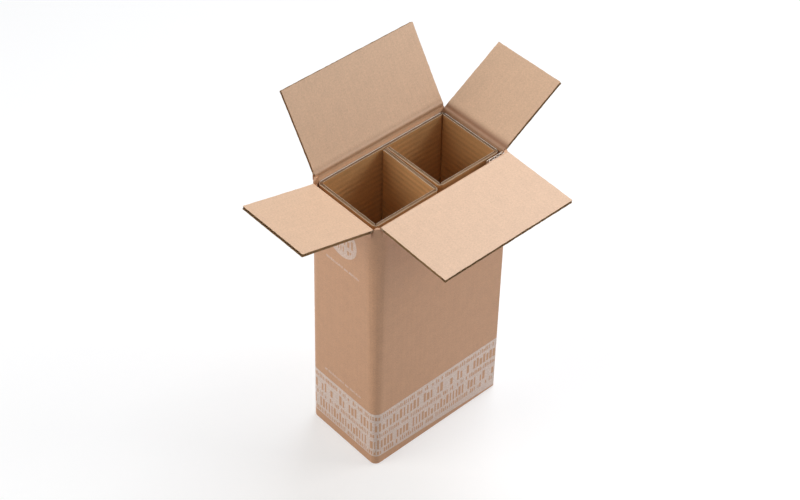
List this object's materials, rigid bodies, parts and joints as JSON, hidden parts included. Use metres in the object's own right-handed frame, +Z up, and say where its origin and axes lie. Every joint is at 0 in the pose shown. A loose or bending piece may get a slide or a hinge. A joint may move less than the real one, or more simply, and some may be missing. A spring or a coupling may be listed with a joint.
{
  "type": "bottle shipping box",
  "caption": "Tall slotted corrugated carton with open top flaps and a folded corrugated insert that makes cells for wine bottles, with a flat base to stand on.",
  "frame": {"origin": "centre of the carton's base, on the surface it stands on", "axes": "+Z up through the open mouth, X along the long side, Y along the short side, the long front panel with the level open flap faces -Y"},
  "size_m": [0.3898, 0.2719, 0.4807],
  "materials": {
    "carton_board": "matt brown kraft liner",
    "insert_board": "matt brown kraft liner, slightly greyer at the cut edges"
  },
  "bodies": {
    "carton": {"carton_body": "carton_board", "insert": "insert_board"},
    "front_flap": {"front_flap": "carton_board"},
    "back_flap": {"back_flap": "carton_board"},
    "left_flap": {"left_flap": "carton_board"},
    "right_flap": {"right_flap": "carton_board"}
  },
  "joints": [
    {"name": "front_crease", "type": "hinge", "parent": "carton", "child": "front_flap", "pos_m": [0, -0.057, 0.3898], "axis": [1, 0, 0], "range_deg": [-182.6, 37.4]},
    {"name": "back_crease", "type": "hinge", "parent": "carton", "child": "back_flap", "pos_m": [0, 0.057, 0.3941], "axis": [-1, 0, 0], "range_deg": [-122.6, 97.4]},
    {"name": "left_crease", "type": "hinge", "parent": "carton", "child": "left_flap", "pos_m": [-0.102, 0, 0.3855], "axis": [0, -1, 0], "range_deg": [-165.4, 54.6]},
    {"name": "right_crease", "type": "hinge", "parent": "carton", "child": "right_flap", "pos_m": [0.102, 0, 0.3855], "axis": [0, 1, 0], "range_deg": [-148, 72]}
  ]
}
